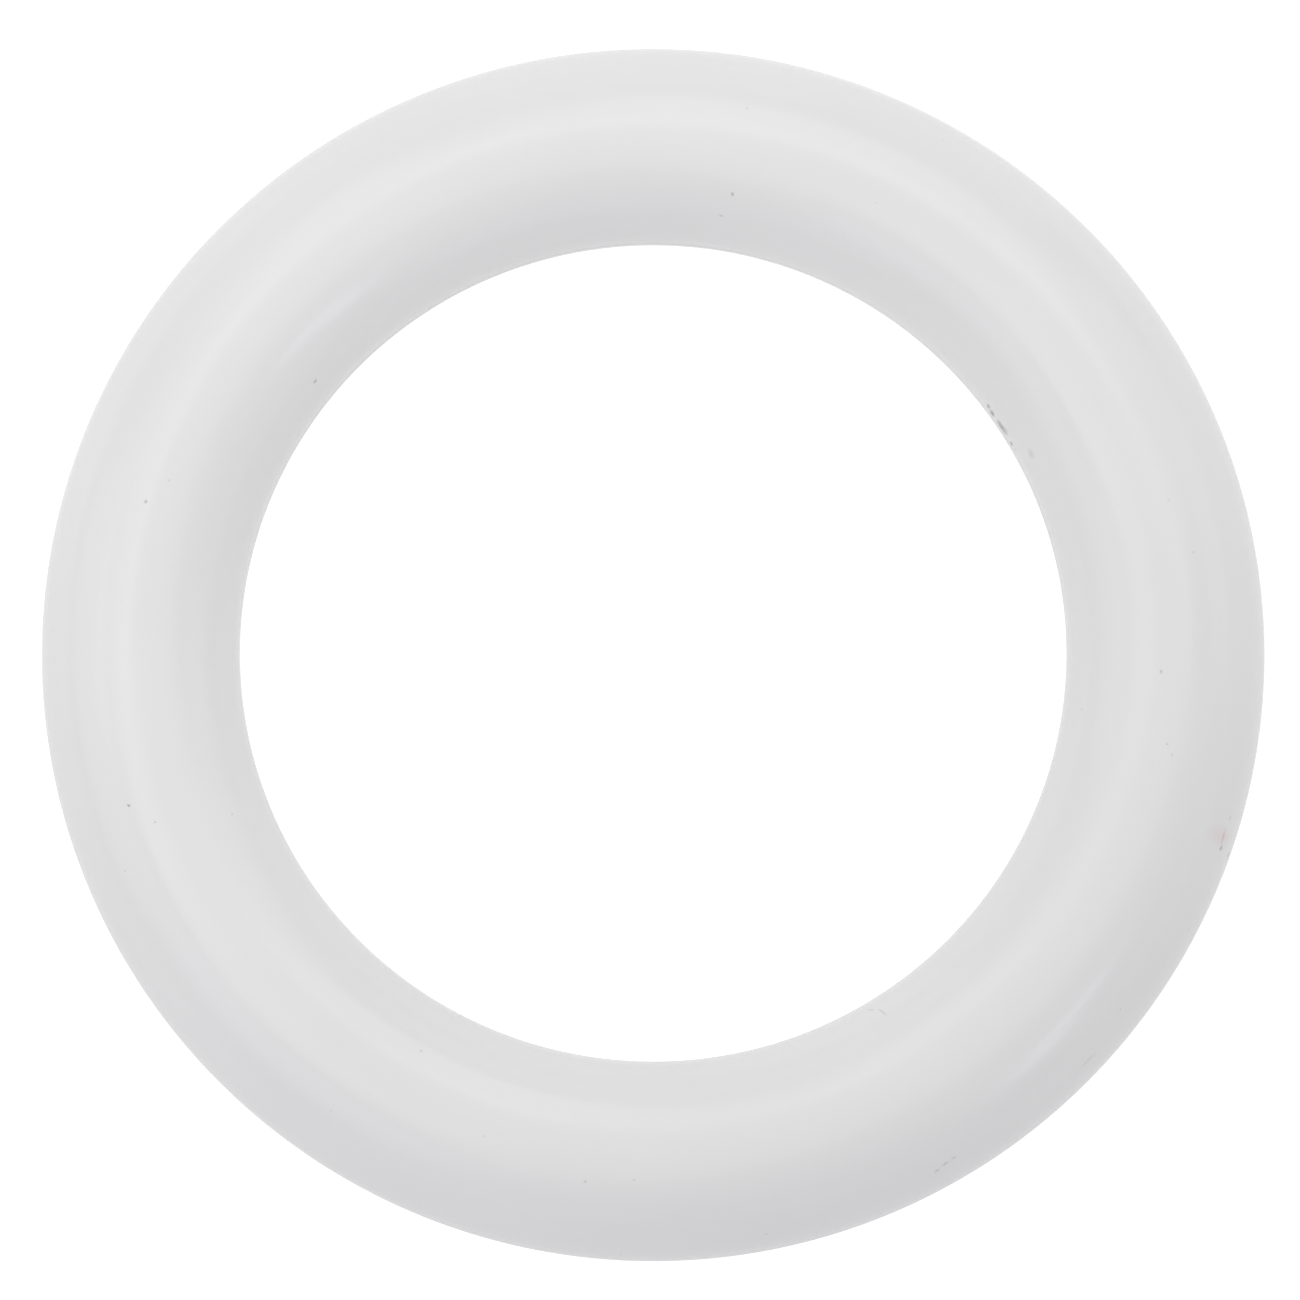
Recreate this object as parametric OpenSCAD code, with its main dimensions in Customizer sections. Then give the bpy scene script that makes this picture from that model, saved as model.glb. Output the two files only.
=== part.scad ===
// Thick-section gymnastics hoop, laid flat.
// Two moulded half shells close on a steel core ring. The shells meet on the hoop's mid-plane in a
// tongue and groove at the inner and the outer rim, and split rubber cushions hold the core clear of them.
// The origin is the hoop's centre, and +Z is its axis.

/* [Hoop] */
// Diameter of the round grip section
grip_d = 28; // [27:0.5:32]
// Diameter of the section's centreline
ring_d = 145; // [130:1:180]

/* [Shells] */
// Wall of the moulded shells
wall_t = 3; // [2.8:0.1:3.4]
// Thickness of the ribs across the cavity
rib_t = 1.6; // [1.2:0.1:2]
// Width of the parting groove's sloping sides
seam_w = 0.2; // [0.2:0.05:0.6]
// Width of the tongue on the rear shell's rims
tongue_w = 1; // [0.8:0.05:1.2]
// Height of the tongue
tongue_h = 1.6; // [1.2:0.1:2]
// Diameter of the pegs that key the shells together
peg_d = 3; // [2.5:0.1:3.2]

/* [Core] */
// Outer diameter of the steel core tube
core_d = 10; // [9:0.5:11]
// Wall of the core tube
core_t = 1.5; // [1:0.1:2]
// Length of the spigot inside the tube's ends
spigot_len = 30; // [20:1:36]
// Diameter of the weld bead round the butt joint
weld_d = 12; // [11.5:0.1:13]
// Place of the weld round the hoop, in degrees
weld_at = 13; // [11:0.5:15]

/* [Cushions] */
// Length of a core cushion along the core
cushion_len = 8; // [6:0.5:10]
// Width of the slit that lets a cushion be pushed on to the core
slit_w = 1.2; // [0.8:0.1:2]

/* [Hidden] */
CUSHIONS = 8;

$fn = 128;
ring_r = ring_d / 2;
grip_r = grip_d / 2;
cavity_r = grip_r - wall_t;
core_r = core_d / 2;
bore_r = core_r - core_t;

// Play between parts that are pushed together
slip = 0.05;
// Thickness of the bond line beside and above the tongue
bond_side = 0.15;
bond_top = 0.4;
// Ribs stop short of the mid-plane, so that only the rims touch
rib_gap = 0.25;
// Play between a rib and the core, which the cushions carry
rib_play = 0.8;
// Root gap between the tube's ends, which the weld fills
weld_gap = 1;
// Length of the bead along the core, and the layers of its crown
weld_len = 6;
WELD_LAYERS = 3;
// Wall of the bosses round the pegs
boss_t = 1.2;
// Length of a peg past the mid-plane, and the play in its socket
peg_len = 4;
peg_play = 0.1;
PEGS = 4;

rim_r = (grip_r + cavity_r) / 2;
cushion_step = 360 / CUSHIONS;
peg_step = 360 / PEGS;
peg_offset = core_r + rib_play + peg_d / 2 + boss_t;

// Angle round the hoop that a length along the centreline takes
function span(len) = len / ring_r * 180 / PI;

// Where the ribs stand: one either side of each cushion, and one halfway to the next
rib_places = [
    for (i = [0:CUSHIONS - 1])
        for (turn = [-span(cushion_len + rib_t) / 2 - span(slip), span(cushion_len + rib_t) / 2 + span(slip),
                     cushion_step / 2])
            i * cushion_step + turn
];

// Part of a turn of a section drawn about the origin, centred on the angle "at"
module swept(at = 0, turn = 360) {
    rotate([0, 0, at - turn / 2])
        rotate_extrude(angle = turn)
            translate([ring_r, 0])
                children();
}

// The half plane above the mid-plane, from a height up
module above(height = 0) {
    translate([-grip_d, height])
        square([2 * grip_d, grip_d]);
}

// Wall of a shell above the mid-plane, with the sloping edges that make the parting groove
module shell_section() {
    difference() {
        circle(r = grip_r);
        circle(r = cavity_r);
        mirror([0, 1])
            above();
        for (side = [-1, 1])
            translate([side * grip_r, 0])
                rotate(45)
                    square(seam_w, center = true);
    }
}

// Tongue, or the groove that is wider by the bond line
module rim_key(side, grow_w = 0, grow_h = 0) {
    translate([side * rim_r - tongue_w / 2 - grow_w, 0])
        square([tongue_w + 2 * grow_w, tongue_h + grow_h]);
}

// Bulkhead rib above the mid-plane, rooted in the middle of the wall
module rib_section() {
    difference() {
        intersection() {
            circle(r = rim_r);
            above(rib_gap);
        }
        circle(r = core_r + rib_play);
    }
}

module ribs() {
    for (at = rib_places)
        swept(at, span(rib_t))
            rib_section();
}

// Upright cylinder at each peg, on a rib that is halfway between two cushions
module at_pegs(d, bottom, top) {
    for (i = [0:PEGS - 1])
        rotate([0, 0, i * peg_step + cushion_step / 2])
            translate([ring_r + peg_offset, 0, bottom])
                cylinder(d = d, h = top - bottom);
}

// Bosses round the pegs, from the shell's wall down to the ribs' edge
module bosses() {
    intersection() {
        at_pegs(peg_d + 2 * boss_t, rib_gap, grip_r);
        swept()
            circle(r = rim_r);
    }
}

// The shell above the mid-plane, before its rims and pegs
module blank_shell() {
    swept()
        shell_section();
    ribs();
    bosses();
}

module front_shell() {
    color("whitesmoke")
        difference() {
            blank_shell();
            for (side = [-1, 1])
                swept()
                    rim_key(side, bond_side, bond_top);
            at_pegs(peg_d + 2 * peg_play, 0, peg_len + 2 * peg_play);
        }
}

module rear_shell() {
    color("whitesmoke") {
        mirror([0, 0, 1])
            blank_shell();
        for (side = [-1, 1])
            swept()
                rim_key(side);
        at_pegs(peg_d, -peg_len, peg_len);
    }
}

// Adhesive that fills the groove round the tongue at one rim
module bond_bead(side) {
    color("lightyellow")
        swept()
            difference() {
                rim_key(side, bond_side, bond_top);
                rim_key(side);
            }
}

module core_tube() {
    color("silver")
        swept(weld_at + 180, 360 - span(weld_gap))
            difference() {
                circle(r = core_r);
                circle(r = bore_r);
            }
}

module core_spigot() {
    color("dimgray")
        swept(weld_at, span(spigot_len))
            circle(r = bore_r - slip);
}

// Bead that fills the root gap and steps down on to the tube's ends, one layer at a time
module core_weld() {
    color("gray")
        difference() {
            for (layer = [1:WELD_LAYERS])
                swept(weld_at, span(layer * weld_len / WELD_LAYERS))
                    circle(r = weld_d / 2 - (layer - 1) * (weld_d / 2 - core_r) / WELD_LAYERS);
            swept(weld_at + 180, 360 - span(weld_gap))
                circle(r = core_r);
            swept()
                circle(r = bore_r);
        }
}

// Sleeve round the core, slit on the side away from the hoop's centre
module core_cushion(i) {
    color("darkslategray")
        swept((i - 1) * cushion_step, span(cushion_len))
            difference() {
                circle(r = cavity_r - slip);
                circle(r = core_r);
                translate([0, -slit_w / 2])
                    square([grip_r, slit_w]);
            }
}

front_shell();
rear_shell();
bond_bead(-1);  // inner_bond_bead
bond_bead(1);  // outer_bond_bead
core_tube();
core_spigot();
core_weld();
for (i = [1:CUSHIONS])
    core_cushion(i);
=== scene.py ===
"""Looks for the thick-section gymnastics hoop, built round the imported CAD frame.

The hoop lies flat with its centre at the origin and its axis along +Z. Angles round the hoop are
counted from +X. "Across" is the distance outwards from the section's centreline and "up" is the height.
"""
import math

import bmesh
import bpy
from mathutils import Matrix, Vector

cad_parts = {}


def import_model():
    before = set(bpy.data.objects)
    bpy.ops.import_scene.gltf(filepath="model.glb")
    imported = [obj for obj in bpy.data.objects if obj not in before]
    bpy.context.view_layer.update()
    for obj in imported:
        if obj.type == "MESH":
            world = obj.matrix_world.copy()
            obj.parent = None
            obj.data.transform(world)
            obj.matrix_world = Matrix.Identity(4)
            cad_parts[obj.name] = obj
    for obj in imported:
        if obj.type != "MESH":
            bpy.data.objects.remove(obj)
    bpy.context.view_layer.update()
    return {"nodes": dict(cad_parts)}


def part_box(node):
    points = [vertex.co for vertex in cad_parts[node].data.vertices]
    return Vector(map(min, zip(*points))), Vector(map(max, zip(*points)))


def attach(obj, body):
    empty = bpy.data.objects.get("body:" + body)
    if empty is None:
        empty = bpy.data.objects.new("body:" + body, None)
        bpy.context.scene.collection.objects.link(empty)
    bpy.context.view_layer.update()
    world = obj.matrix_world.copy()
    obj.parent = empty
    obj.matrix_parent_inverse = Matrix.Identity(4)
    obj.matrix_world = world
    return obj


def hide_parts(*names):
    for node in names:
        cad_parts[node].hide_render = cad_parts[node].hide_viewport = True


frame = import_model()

MM = 0.001
TAU = 2 * math.pi

# The hoop's own sizes come from the frame, whose facets fall a hair short of the true rounds
GRIP_R = round(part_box("front_shell")[1][2], 4)
RING_R = round(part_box("front_shell")[1][0], 4) - GRIP_R

# Sizes inside the hoop, as the CAD has them
WALL = 3 * MM
SEAM = 0.2 * MM
TONGUE_W, TONGUE_H = 1 * MM, 1.6 * MM
BOND_SIDE, BOND_TOP = 0.15 * MM, 0.4 * MM
RIB_T, RIB_GAP, RIB_PLAY = 1.6 * MM, 0.25 * MM, 0.8 * MM
CORE_R, BORE_R = 5 * MM, 3.5 * MM
PEG_R, PEG_LEN, PEG_PLAY, BOSS_T = 1.5 * MM, 4 * MM, 0.1 * MM, 1.2 * MM
PEGS = 4
CUSHIONS, CUSHION_LEN, SLIT, SLIP = 8, 8 * MM, 1.2 * MM, 0.05 * MM
WELD_AT, WELD_LEN, WELD_R, WELD_GAP = math.radians(13), 6 * MM, 6 * MM, 1 * MM
CAVITY_R = GRIP_R - WALL
RIM_R = (GRIP_R + CAVITY_R) / 2

# Steps round the hoop, and round half of its section
HOOP_STEPS = 360
SKIN_STEPS = 60
CAVITY_STEPS = 30

# Edges that turn more than this are shaded sharp
SHARP = math.radians(35)


# ---------------------------------------------------------------- geometry

def on_hoop(angle, across, up):
    """The point at an angle round the hoop, an offset from the centreline and a height."""
    rho = RING_R + across
    return Vector((rho * math.cos(angle), rho * math.sin(angle), up))


def on_skin(degrees_round, degrees_out):
    """The point of the skin at an angle round the hoop, and one from the top towards the outside."""
    lean = math.radians(degrees_out)
    return on_hoop(math.radians(degrees_round), GRIP_R * math.sin(lean), GRIP_R * math.cos(lean))


def span(length):
    """Angle round the hoop that a length along its centreline takes."""
    return length / RING_R


def arc(radius, start, end, steps):
    """Points of an arc in the section, as (across, up), both ends included."""
    turns = [math.radians(start + (end - start) * i / steps) for i in range(steps + 1)]
    return [(radius * math.cos(t), radius * math.sin(t)) for t in turns]


def shade(mesh):
    """Smooth shading but for the sharp edges."""
    mesh.shade_smooth()
    mesh.set_sharp_from_angle(angle=SHARP)


def new_piece(name, bm):
    """An object from a bmesh, shaded smooth but for its sharp edges."""
    bmesh.ops.recalc_face_normals(bm, faces=bm.faces)
    mesh = bpy.data.meshes.new(name)
    bm.to_mesh(mesh)
    bm.free()
    shade(mesh)
    piece = bpy.data.objects.new(name, mesh)
    bpy.context.collection.objects.link(piece)
    return piece


def skin_rings(bm, rings, closed):
    """Joins rings of vertices with four-sided faces, each ring to the next."""
    count = len(rings[0])
    for ring, ahead in zip(rings, rings[1:] + rings[:1] if closed else rings[1:]):
        for i in range(count):
            j = (i + 1) % count
            bm.faces.new((ring[i], ring[j], ahead[j], ahead[i]))


def sweep(bm, outline, angles, closed):
    """Sweeps a closed outline of (across, up) points through the angles round the hoop."""
    rings = [[bm.verts.new(on_hoop(a, x, z)) for x, z in outline] for a in angles]
    skin_rings(bm, rings, closed)
    if not closed:
        bm.faces.new(rings[0])
        bm.faces.new(rings[-1])


def full_turn(steps):
    return [TAU * i / steps for i in range(steps)]


def part_turn(at, length, steps):
    return [at + span(length) * (i / steps - 0.5) for i in range(steps + 1)]


def half_outline(rim):
    """Outline of a half shell above the mid-plane, where rim lists one rim's points inwards."""
    edge = math.degrees(math.asin(SEAM / math.sqrt(2) / GRIP_R))
    outer = arc(GRIP_R, edge, 180 - edge, SKIN_STEPS)
    cavity = arc(CAVITY_R, 180, 0, CAVITY_STEPS)
    left = [(-x, z) for x, z in rim]
    return outer + left + cavity + rim[::-1]


def keyed_rim(key_half, key_up):
    """One rim from the parting groove inwards, past a key: up into the shell, or down as a tongue."""
    lip = GRIP_R - SEAM / math.sqrt(2)
    return [
        (lip, 0),
        (RIM_R + key_half, 0),
        (RIM_R + key_half, key_up),
        (RIM_R - key_half, key_up),
        (RIM_R - key_half, 0),
    ]


def cut_with(piece, operation, cutter):
    """Joins or cuts a piece with another object, which is then removed."""
    modifier = piece.modifiers.new("Boolean", "BOOLEAN")
    modifier.operation = operation
    modifier.solver = "MANIFOLD"
    modifier.object = cutter
    bpy.context.view_layer.objects.active = piece
    bpy.ops.object.modifier_apply(modifier=modifier.name)
    bpy.data.objects.remove(cutter)


def rib_angles():
    """One rib either side of each cushion, and one halfway to the next."""
    beside = span((CUSHION_LEN + RIB_T) / 2 + SLIP)
    step = TAU / CUSHIONS
    return [i * step + turn for i in range(CUSHIONS) for turn in (-beside, beside, step / 2)]


def rib_outline():
    """C-shaped bulkhead above the mid-plane, rooted in the middle of the wall."""
    low = [math.degrees(math.asin(RIB_GAP / r)) for r in (RIM_R, CORE_R + RIB_PLAY)]
    outer = arc(RIM_R, low[0], 180 - low[0], SKIN_STEPS)
    inner = arc(CORE_R + RIB_PLAY, 180 - low[1], low[1], CAVITY_STEPS)
    return outer + inner


def add_column(bm, radius, low, high, flip):
    """A round column at each peg, mirrored in the mid-plane if flip is -1, and never past mid-wall."""
    steps = 48
    for i in range(PEGS):
        at = TAU * i / PEGS + TAU / CUSHIONS / 2
        foot = on_hoop(at, CORE_R + RIB_PLAY + PEG_R + BOSS_T, 0)
        rings = [[], []]
        for turn in full_turn(steps):
            spot = foot + Vector((radius * math.cos(turn), radius * math.sin(turn), 0))
            roof = math.sqrt(RIM_R ** 2 - (spot.length - RING_R) ** 2)
            for ring, height in zip(rings, (low, min(high, roof))):
                ring.append(bm.verts.new((spot.x, spot.y, flip * height)))
        for j in range(steps):
            k = (j + 1) % steps
            bm.faces.new((rings[0][j], rings[0][k], rings[1][k], rings[1][j]))
        bm.faces.new(rings[0])
        bm.faces.new(rings[1])


def helper(build):
    """A scratch object made by a function that fills a bmesh."""
    bm = bmesh.new()
    build(bm)
    return new_piece("helper", bm)


def half_shell(name, flip, rim):
    """A moulded half shell with its ribs and bosses, above the mid-plane or mirrored below it."""
    bm = bmesh.new()
    sweep(bm, half_outline(rim), full_turn(HOOP_STEPS), True)
    for vert in bm.verts:
        vert.co.z *= flip
    shell = new_piece(name, bm)

    def ribs(bm):
        for at in rib_angles():
            sweep(bm, [(x, flip * z) for x, z in rib_outline()], part_turn(at, RIB_T, 2), False)

    def bosses(bm):
        add_column(bm, PEG_R + BOSS_T, RIB_GAP, GRIP_R, flip)

    cut_with(shell, "UNION", helper(ribs))
    cut_with(shell, "UNION", helper(bosses))
    return shell


# ---------------------------------------------------------------- materials

class Nodes:
    """Short names for building a material's node tree."""

    def __init__(self, name):
        self.material = bpy.data.materials.new(name)
        self.material.use_nodes = True
        self.tree = self.material.node_tree
        self.tree.nodes.clear()
        self.shader = self.add("ShaderNodeBsdfPrincipled")
        out = self.add("ShaderNodeOutputMaterial")
        self.link(self.shader.outputs[0], out.inputs["Surface"])

    def add(self, kind, **settings):
        node = self.tree.nodes.new(kind)
        for key, value in settings.items():
            setattr(node, key, value)
        return node

    def link(self, source, target):
        self.tree.links.new(source, target)

    def put(self, target, value):
        """Links a socket to a socket, or sets a number or a colour on it."""
        if isinstance(value, bpy.types.NodeSocket):
            self.link(value, target)
        else:
            target.default_value = value

    def math(self, operation, a, b=0.0):
        node = self.add("ShaderNodeMath", operation=operation)
        self.put(node.inputs[0], a)
        self.put(node.inputs[1], b)
        return node.outputs[0]

    def ramp(self, value, low, high, to_low=0.0, to_high=1.0):
        """Maps a value smoothly from one range to another."""
        node = self.add("ShaderNodeMapRange", interpolation_type="SMOOTHSTEP")
        for socket, number in zip(node.inputs[:5], (value, low, high, to_low, to_high)):
            self.put(socket, number)
        return node.outputs[0]

    def mix(self, factor, a, b):
        node = self.add("ShaderNodeMix", data_type="RGBA")
        self.put(node.inputs[0], factor)
        self.put(node.inputs[6], a)
        self.put(node.inputs[7], b)
        return node.outputs[2]

    def noise(self, vector, scale, detail=2.0, rough=0.5, w=None):
        node = self.add("ShaderNodeTexNoise", noise_dimensions="3D" if w is None else "4D")
        self.put(node.inputs["Vector"], vector)
        if w is not None:
            self.put(node.inputs["W"], w)
        node.inputs["Scale"].default_value = scale
        node.inputs["Detail"].default_value = detail
        node.inputs["Roughness"].default_value = rough
        return node.outputs[0]

    def bump(self, height, distance, normal=None):
        """Bump of a height from 0 to 1, whose full step is a distance in metres."""
        node = self.add("ShaderNodeBump")
        node.inputs["Strength"].default_value = 1.0
        node.inputs["Distance"].default_value = distance
        self.link(height, node.inputs["Height"])
        if normal is not None:
            self.link(normal, node.inputs["Normal"])
        return node.outputs[0]

    def place(self):
        """Coordinates of the object, which are also those of the frame."""
        return self.add("ShaderNodeTexCoord").outputs["Object"]

    def hoop_grain(self, along, across, detail=2.0):
        """Noise drawn out round the hoop: features a length along it and a width across it, in metres."""
        split = self.add("ShaderNodeSeparateXYZ")
        self.link(self.place(), split.inputs[0])
        x, y, z = split.outputs
        rho = self.math("SQRT", self.math("ADD", self.math("MULTIPLY", x, x), self.math("MULTIPLY", y, y)))
        joined = self.add("ShaderNodeCombineXYZ")
        turns = RING_R / along
        self.link(self.math("MULTIPLY", self.math("DIVIDE", x, rho), turns), joined.inputs[0])
        self.link(self.math("MULTIPLY", self.math("DIVIDE", y, rho), turns), joined.inputs[1])
        self.link(self.math("MULTIPLY", z, 1 / across), joined.inputs[2])
        return self.noise(joined.outputs[0], 1.0, detail, w=self.math("MULTIPLY", rho, 1 / across))

    def finish(self, color, rough, normal=None, **constants):
        self.put(self.shader.inputs["Base Color"], color)
        self.put(self.shader.inputs["Roughness"], rough)
        if normal is not None:
            self.link(normal, self.shader.inputs["Normal"])
        for key, value in constants.items():
            self.shader.inputs[key.replace("_", " ")].default_value = value
        return self.material


def gray(level):
    return (level, level, level, 1)


SHELL_WHITE, SHELL_CLOUD = gray(0.80), gray(0.788)
GRIME = (0.06, 0.055, 0.05, 1)
RUB = (0.42, 0.36, 0.34, 1)
BLUSH = (0.72, 0.45, 0.46, 1)

# Marks on the skin, read to a degree or two: degrees round the hoop, degrees from its top towards
# the outside, length and width in mm, turn in degrees from along the hoop inwards, how dark, and stain
MARKS = [
    # Specks of moulding dirt
    (142, -58, 0.8, 0.6, 0, 0.45, GRIME),
    (80, -35, 0.9, 0.5, -50, 0.45, GRIME),
    (81, -51, 0.7, 0.4, 0, 0.30, GRIME),
    (165, 5, 0.6, 0.5, 0, 0.40, GRIME),
    (198, 19, 0.7, 0.5, 40, 0.50, GRIME),
    (263, 19, 0.6, 0.4, 0, 0.32, GRIME),
    (348, 4, 0.5, 0.4, 0, 0.25, GRIME),
    (356, -5, 0.7, 0.5, 0, 0.35, GRIME),
    # Fainter ones
    (162, -4, 0.6, 0.5, 0, 0.15, GRIME),
    (80, 17, 0.6, 0.4, 0, 0.15, GRIME),
    (15, 10, 0.8, 0.5, 0, 0.12, GRIME),
    (9, 18, 0.5, 0.4, 0, 0.15, GRIME),
    (241, -25, 0.6, 0.5, 0, 0.20, GRIME),
    (268, 16, 0.6, 0.4, 0, 0.15, GRIME),
    (347, 8, 0.5, 0.4, 0, 0.15, GRIME),
    (351, -55, 0.6, 0.5, 0, 0.12, GRIME),
    # A grey smear above the dirty stretch of the inner seam
    (27, -64, 1.9, 1.6, 0, 0.14, GRIME),
    # Scratches on the outside
    (298, 58, 1.2, 0.8, 15, 0.20, GRIME),
    (299, 56, 1.6, 0.7, 15, 0.20, GRIME),
    (300, 55, 1.0, 0.8, 10, 0.16, GRIME),
    (316, 61, 3.8, 0.8, 0, 0.10, GRIME),
    # A rubbed, faintly pink patch on the outside, with dirt in it
    (340, 62, 1.0, 0.9, 10, 0.40, GRIME),
    (341, 60, 3.0, 0.7, 10, 0.40, RUB),
    (343, 61, 0.9, 0.7, 0, 0.16, GRIME),
    (341, 57, 3.5, 6.5, 0, 0.20, BLUSH),
    (340, 78, 1.6, 1.8, 0, 0.25, GRIME),
    # A bent nick on the inside
    (300.5, -62, 1.3, 0.4, -55, 0.28, GRIME),
    (301.5, -53, 3.1, 0.4, -83, 0.22, GRIME),
    # Dirt caught in a row just above the inner seam
    (36, -79, 0.9, 1.6, 0, 0.50, GRIME),
    (35, -81, 1.4, 2.0, 0, 0.60, GRIME),
    (33, -81, 2.2, 2.2, 10, 0.52, GRIME),
    (32, -80, 1.9, 2.6, 0, 0.38, GRIME),
    (30, -82, 0.9, 1.6, 0, 0.55, GRIME),
    (29, -82, 1.6, 1.4, 0, 0.15, GRIME),
]

# Faint specks all over: the space between them, their size, how dark, and the share that show
PEPPER_SPACE, PEPPER_R, PEPPER_DARK, PEPPER_SHARE = 5 * MM, 0.22 * MM, 0.25, 0.3
# Dirt in the parting groove
SEAM_DIRT = 0.15
# How far the edges of the marks stray, and over what distance
RAGGED, RAGGED_SPACE = 0.25 * MM, 0.4 * MM


def ragged(nodes, place):
    """Coordinates shifted at random by up to RAGGED, so that no mark is a clean oval."""
    wobble = nodes.add("ShaderNodeTexNoise")
    nodes.link(place, wobble.inputs["Vector"])
    wobble.inputs["Scale"].default_value = 1 / RAGGED_SPACE
    shift = nodes.add("ShaderNodeVectorMath", operation="SUBTRACT")
    nodes.link(wobble.outputs["Color"], shift.inputs[0])
    shift.inputs[1].default_value = (0.5, 0.5, 0.5)
    moved = nodes.add("ShaderNodeVectorMath", operation="MULTIPLY_ADD")
    nodes.link(shift.outputs[0], moved.inputs[0])
    moved.inputs[1].default_value = (2 * RAGGED, 2 * RAGGED, 2 * RAGGED)
    nodes.link(place, moved.inputs[2])
    return moved.outputs[0]


def mark_mask(nodes, place, degrees_round, degrees_out, length, width, turn, dark):
    """A soft oval that lies in the skin, as strong as the mark is dark."""
    spot = on_skin(degrees_round, degrees_out)
    normal = (spot - on_hoop(math.radians(degrees_round), 0, 0)).normalized()
    along = Vector((-spot.y, spot.x, 0)).normalized()
    axes = Matrix((along, normal.cross(along), normal)).transposed()
    in_skin = axes @ Matrix.Rotation(math.radians(turn), 3, "Z")
    node = nodes.add("ShaderNodeMapping", vector_type="TEXTURE")
    nodes.link(place, node.inputs["Vector"])
    node.inputs["Location"].default_value = spot
    node.inputs["Rotation"].default_value = in_skin.to_euler()
    node.inputs["Scale"].default_value = (length / 2 * MM, width / 2 * MM, width / 2 * MM)
    reach = nodes.add("ShaderNodeVectorMath", operation="LENGTH")
    nodes.link(node.outputs[0], reach.inputs[0])
    return nodes.ramp(reach.outputs["Value"], 0.2, 1.2, dark, 0.0)


def pepper_mask(nodes, place):
    """Tiny faint specks scattered through the plastic."""
    cells = nodes.add("ShaderNodeTexVoronoi")
    nodes.link(place, cells.inputs["Vector"])
    cells.inputs["Scale"].default_value = 1 / PEPPER_SPACE
    speck_r = PEPPER_R / PEPPER_SPACE
    speck = nodes.ramp(cells.outputs["Distance"], speck_r / 3, speck_r, PEPPER_DARK, 0.0)
    pick = nodes.add("ShaderNodeSeparateColor")
    nodes.link(cells.outputs["Color"], pick.inputs[0])
    shown = nodes.math("LESS_THAN", pick.outputs[0], PEPPER_SHARE)
    return nodes.math("MULTIPLY", speck, shown)


def seam_mask(nodes, place):
    """A thin band along the parting groove, on the mid-plane."""
    split = nodes.add("ShaderNodeSeparateXYZ")
    nodes.link(place, split.inputs[0])
    height = nodes.math("ABSOLUTE", split.outputs["Z"])
    return nodes.ramp(height, 0.3 * SEAM, 1.5 * SEAM, SEAM_DIRT, 0.0)


def white_plastic():
    """Gloss white moulded plastic: faint flow lines, orange peel, specks, scuffs and a dirty seam."""
    n = Nodes("shell_white")
    place = n.place()
    torn = ragged(n, place)

    cloud = n.ramp(n.noise(place, 28, 3), 0.3, 0.7)
    color = n.mix(cloud, SHELL_WHITE, SHELL_CLOUD)
    color = n.mix(pepper_mask(n, place), color, GRIME)
    color = n.mix(seam_mask(n, place), color, GRIME)
    for *mark, stain in MARKS:
        color = n.mix(mark_mask(n, torn, *mark), color, stain)

    flow = n.hoop_grain(40 * MM, 0.9 * MM)
    peel = n.noise(place, 1100, 1)
    rough = n.ramp(n.hoop_grain(25 * MM, 2 * MM), 0.2, 0.8, 0.15, 0.21)
    normal = n.bump(peel, 0.002 * MM)
    normal = n.bump(flow, 0.004 * MM, normal=normal)
    return n.finish(color, rough, normal)


def plated_steel():
    n = Nodes("core_zinc")
    grain = n.hoop_grain(12 * MM, 0.25 * MM, 3)
    spangle = n.add("ShaderNodeTexVoronoi")
    n.link(n.place(), spangle.inputs["Vector"])
    spangle.inputs["Scale"].default_value = 350
    color = n.mix(spangle.outputs["Distance"], (0.62, 0.63, 0.65, 1), (0.50, 0.52, 0.55, 1))
    rough = n.ramp(grain, 0.25, 0.75, 0.24, 0.42)
    return n.finish(color, rough, n.bump(grain, 0.006 * MM), Metallic=1.0)


def bright_steel():
    n = Nodes("spigot_steel")
    grain = n.hoop_grain(0.3 * MM, 4 * MM, 3)
    color = n.mix(grain, (0.38, 0.38, 0.40, 1), (0.52, 0.52, 0.54, 1))
    rough = n.ramp(grain, 0.25, 0.75, 0.26, 0.40)
    return n.finish(color, rough, n.bump(grain, 0.008 * MM), Metallic=1.0)


def weld_metal():
    """Bare weld metal, with straw and blue heat tints away from its middle."""
    n = Nodes("weld_metal")
    patch = n.noise(n.place(), 500, 3)
    warm = n.mix(n.ramp(patch, 0.35, 0.6), (0.45, 0.44, 0.43, 1), (0.46, 0.36, 0.22, 1))
    color = n.mix(n.ramp(patch, 0.55, 0.75), warm, (0.20, 0.24, 0.36, 1))
    rough = n.ramp(patch, 0.3, 0.7, 0.28, 0.5)
    return n.finish(color, rough, n.bump(n.noise(n.place(), 4000, 2), 0.01 * MM), Metallic=1.0)


def moulded_rubber():
    n = Nodes("cushion_rubber")
    bloom = n.noise(n.place(), 220, 4)
    color = n.mix(n.ramp(bloom, 0.4, 0.75), (0.022, 0.024, 0.025, 1), (0.055, 0.057, 0.058, 1))
    rough = n.ramp(bloom, 0.3, 0.7, 0.62, 0.82)
    return n.finish(color, rough, n.bump(n.noise(n.place(), 2600, 2), 0.02 * MM))


def cured_adhesive():
    n = Nodes("bond_adhesive")
    flow = n.hoop_grain(6 * MM, 0.5 * MM)
    color = n.mix(flow, (0.78, 0.68, 0.42, 1), (0.88, 0.82, 0.62, 1))
    return n.finish(color, n.ramp(flow, 0.3, 0.7, 0.3, 0.45), n.bump(flow, 0.03 * MM))


def dress(piece, material):
    """Puts one material on a piece, or on a CAD node."""
    if not piece.data.materials:
        piece.data.materials.append(material)
        return
    for slot in piece.material_slots:
        slot.link = "OBJECT"
        slot.material = material


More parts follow.
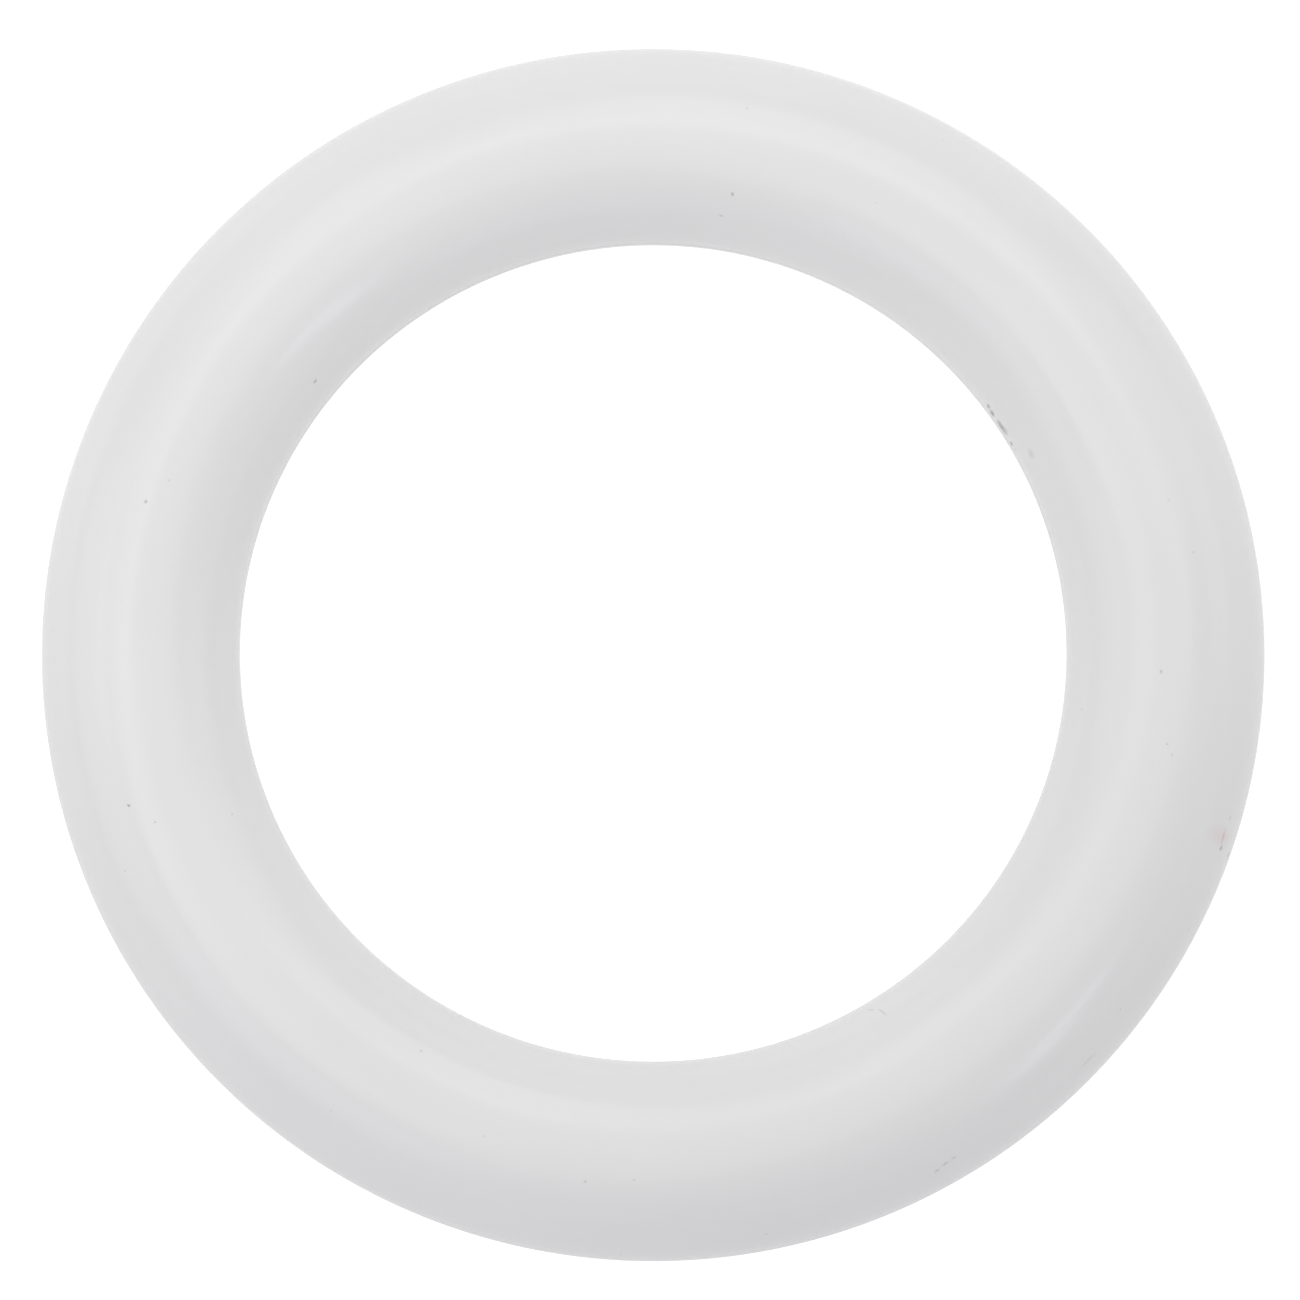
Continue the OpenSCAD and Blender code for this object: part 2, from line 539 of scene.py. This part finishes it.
# ---------------------------------------------------------------- pieces

def settle(piece, material, slot, *nodes):
    """Gives a finished piece its material and its body, and hides the CAD nodes that it stands for."""
    dress(piece, material)
    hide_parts(*nodes)
    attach(piece, "root")


def make_shells(material):
    groove = keyed_rim(TONGUE_W / 2 + BOND_SIDE, TONGUE_H + BOND_TOP)
    tongue = keyed_rim(TONGUE_W / 2, -TONGUE_H)
    front = half_shell("front_half_shell", 1, groove)
    rear = half_shell("rear_half_shell", -1, tongue)
    cut_with(front, "DIFFERENCE", helper(
        lambda bm: add_column(bm, PEG_R + PEG_PLAY, -PEG_LEN, PEG_LEN + 2 * PEG_PLAY, 1)))
    cut_with(rear, "UNION", helper(
        lambda bm: add_column(bm, PEG_R, -PEG_LEN, PEG_LEN, 1)))
    for shell, node in ((front, "front_shell"), (rear, "rear_shell")):
        shade(shell.data)
        settle(shell, material, "shell_white", node)


def make_cushions(material):
    """Sleeves round the core with rounded edges, each slit on its outer side."""
    half_slit = SLIT / 2
    open_out = math.degrees(math.asin(half_slit / (CAVITY_R - SLIP)))
    open_in = math.degrees(math.asin(half_slit / CORE_R))
    outline = arc(CAVITY_R - SLIP, open_out, 360 - open_out, 96)
    outline += arc(CORE_R, 360 - open_in, open_in, 64)
    for i in range(CUSHIONS):
        bm = bmesh.new()
        sweep(bm, outline, part_turn(TAU * i / CUSHIONS, CUSHION_LEN, 6), False)
        sleeve = new_piece(f"rubber_cushion_{i + 1}", bm)
        bevel = sleeve.modifiers.new("Rounded edges", "BEVEL")
        bevel.width = 0.4 * MM
        bevel.segments = 3
        bevel.angle_limit = math.radians(40)
        settle(sleeve, material, "cushion_rubber", f"core_cushion_{i + 1}")


def make_weld(material):
    """A crowned bead with the ripples of its run, filling the root gap between the tube's ends."""
    turn_steps, crown_steps, root = 240, 24, WELD_GAP / 2
    crown_height, ripple_height, ripples = 0.94, 0.06, 36
    bm = bmesh.new()
    rings = []
    for turn in full_turn(turn_steps):
        outline = []
        for i in range(crown_steps + 1):
            at = (2 * i / crown_steps - 1) * WELD_LEN / 2
            crown = math.sqrt(max(0, 1 - (2 * at / WELD_LEN) ** 2))
            ripple = ripple_height * math.sin(ripples * turn - 3 * abs(at) / MM) * crown
            outline.append((at, CORE_R + (WELD_R - CORE_R) * (crown_height * crown + ripple)))
        outline += [(root, CORE_R), (root, BORE_R), (-root, BORE_R), (-root, CORE_R)]
        rings.append([
            bm.verts.new(on_hoop(WELD_AT + span(at), rho * math.cos(turn), rho * math.sin(turn)))
            for at, rho in outline
        ])
    skin_rings(bm, rings, True)
    settle(new_piece("weld_bead", bm), material, "weld_steel", "core_weld")


make_shells(white_plastic())
make_cushions(moulded_rubber())
make_weld(weld_metal())
dress(frame["nodes"]["core_tube"], plated_steel())
dress(frame["nodes"]["core_spigot"], bright_steel())
adhesive = cured_adhesive()
for side in ("inner", "outer"):
    dress(frame["nodes"][f"{side}_bond_bead"], adhesive)


# ---------------------------------------------------------------- stage

# Brightness is set against a white that the camera just shows as full. The room and the white
# table glow evenly, the table a little more at the back. Each kind of light has one brightness
ROOM_GLOW, BOX_GLOW, HORIZON_GLOW, WINDOW_GLOW = 0.53, 0.45, 0.30, 2.0
TABLE_FRONT_GLOW, TABLE_BACK_GLOW, TABLE_FADE = 0.40, 0.50, 0.12
TABLE_HALF, TABLE_ROUGH = 12.0, 0.7
NEUTRAL, COOL = (1, 1, 1), (0.90, 0.87, 1.07)

# Soft boxes: azimuth from +X and height above the horizon in degrees, distance, width and depth in
# metres, brightness and colour. The last two are panes of a window, and are small and far
LIGHTS = {
    "overhead": (225, 87, 0.75, 0.65, 0.95, BOX_GLOW, NEUTRAL),
    "key_right": (60, 52, 0.42, 0.40, 0.26, BOX_GLOW, NEUTRAL),
    "key_back": (90, 52, 0.42, 0.40, 0.26, BOX_GLOW, NEUTRAL),
    "key_left": (150, 52, 0.42, 0.40, 0.26, BOX_GLOW, NEUTRAL),
    "left_strip": (180, 67, 0.80, 0.65, 0.35, BOX_GLOW, NEUTRAL),
    "left_fill": (180, 25, 0.36, 0.30, 0.20, BOX_GLOW, NEUTRAL),
    "right_fill": (25, 25, 0.80, 0.55, 0.30, BOX_GLOW, NEUTRAL),
    "front_left": (225, 35, 0.80, 0.50, 0.35, BOX_GLOW, COOL),
    "horizon_front": (270, 10, 0.80, 1.20, 0.25, HORIZON_GLOW, COOL),
    "horizon_right": (0, 10, 0.80, 1.20, 0.25, HORIZON_GLOW, NEUTRAL),
    "horizon_back": (90, 10, 0.80, 1.20, 0.25, HORIZON_GLOW, NEUTRAL),
    "window_top": (325, 38, 3.0, 0.60, 0.30, WINDOW_GLOW, COOL),
    "window_bottom": (319, 30, 3.0, 0.40, 0.40, WINDOW_GLOW, COOL),
}


def sheet(name, drop, base, glow):
    """A wide level sheet under the hoop, which reflects some light and glows white as well."""
    bm = bmesh.new()
    corners = [(-1, -1), (1, -1), (1, 1), (-1, 1)]
    bm.faces.new([bm.verts.new((x * TABLE_HALF, y * TABLE_HALF, -GRIP_R - drop)) for x, y in corners])
    plane = new_piece(name, bm)
    n = Nodes(name)
    n.shader.inputs["Emission Color"].default_value = gray(1)
    n.put(n.shader.inputs["Emission Strength"], glow(n))
    dress(plane, n.finish(gray(base), TABLE_ROUGH))
    return plane


def table_fade(nodes):
    """More glow at the back of the table, where the key lights are."""
    split = nodes.add("ShaderNodeSeparateXYZ")
    nodes.link(nodes.place(), split.inputs[0])
    return nodes.ramp(split.outputs["Y"], -TABLE_FADE, TABLE_FADE, TABLE_FRONT_GLOW, TABLE_BACK_GLOW)


def table():
    """A white table, once overexposed as the camera sees it, and once as it lights the hoop."""
    seen = sheet("floor", 0, base=0.28, glow=lambda nodes: 0.85)
    seen.visible_diffuse = seen.visible_glossy = seen.visible_shadow = False
    bounce = sheet("floor_bounce", 0.1 * MM, base=0.50, glow=table_fade)
    bounce.visible_camera = False


def aim(obj, azimuth, height, distance, target=Vector((0, 0, 0))):
    """Puts a light or a camera on a dome round the target, looking in."""
    a, h = math.radians(azimuth), math.radians(height)
    away = Vector((math.cos(h) * math.cos(a), math.cos(h) * math.sin(a), math.sin(h)))
    obj.location = target + distance * away
    obj.rotation_euler = (-away).to_track_quat("-Z", "Y").to_euler()


def soft_light(name, azimuth, height, distance, width, depth, glow, color):
    """A rectangular soft box that lights the hoop, and isn't seen itself."""
    data = bpy.data.lights.new(name, "AREA")
    data.shape = "RECTANGLE"
    data.size, data.size_y = width, depth
    data.energy = math.pi * width * depth * glow
    data.color = color
    light = bpy.data.objects.new(name, data)
    bpy.context.collection.objects.link(light)
    aim(light, azimuth, height, distance)
    light.visible_camera = False


def world():
    shade = bpy.data.worlds.new("studio")
    shade.use_nodes = True
    back = shade.node_tree.nodes["Background"]
    back.inputs["Color"].default_value = gray(1)
    back.inputs["Strength"].default_value = ROOM_GLOW
    bpy.context.scene.world = shade


def camera():
    """Looks down at the hoop from its front side, from a little over a metre away."""
    data = bpy.data.cameras.new("camera")
    eye = bpy.data.objects.new("camera", data)
    bpy.context.collection.objects.link(eye)
    distance, frame_width = 1.34, 0.184
    aim(eye, 270, 81.8, distance, target=Vector((-0.45 * MM, 0.05 * MM, 0)))
    data.sensor_width = 36
    data.lens = data.sensor_width * distance / frame_width
    data.clip_start, data.clip_end = 0.05, 30
    bpy.context.scene.camera = eye


table()
for name, settings in LIGHTS.items():
    soft_light(name, *settings)
world()
camera()
view = bpy.context.scene.view_settings
view.view_transform = "Standard"
view.look = "None"
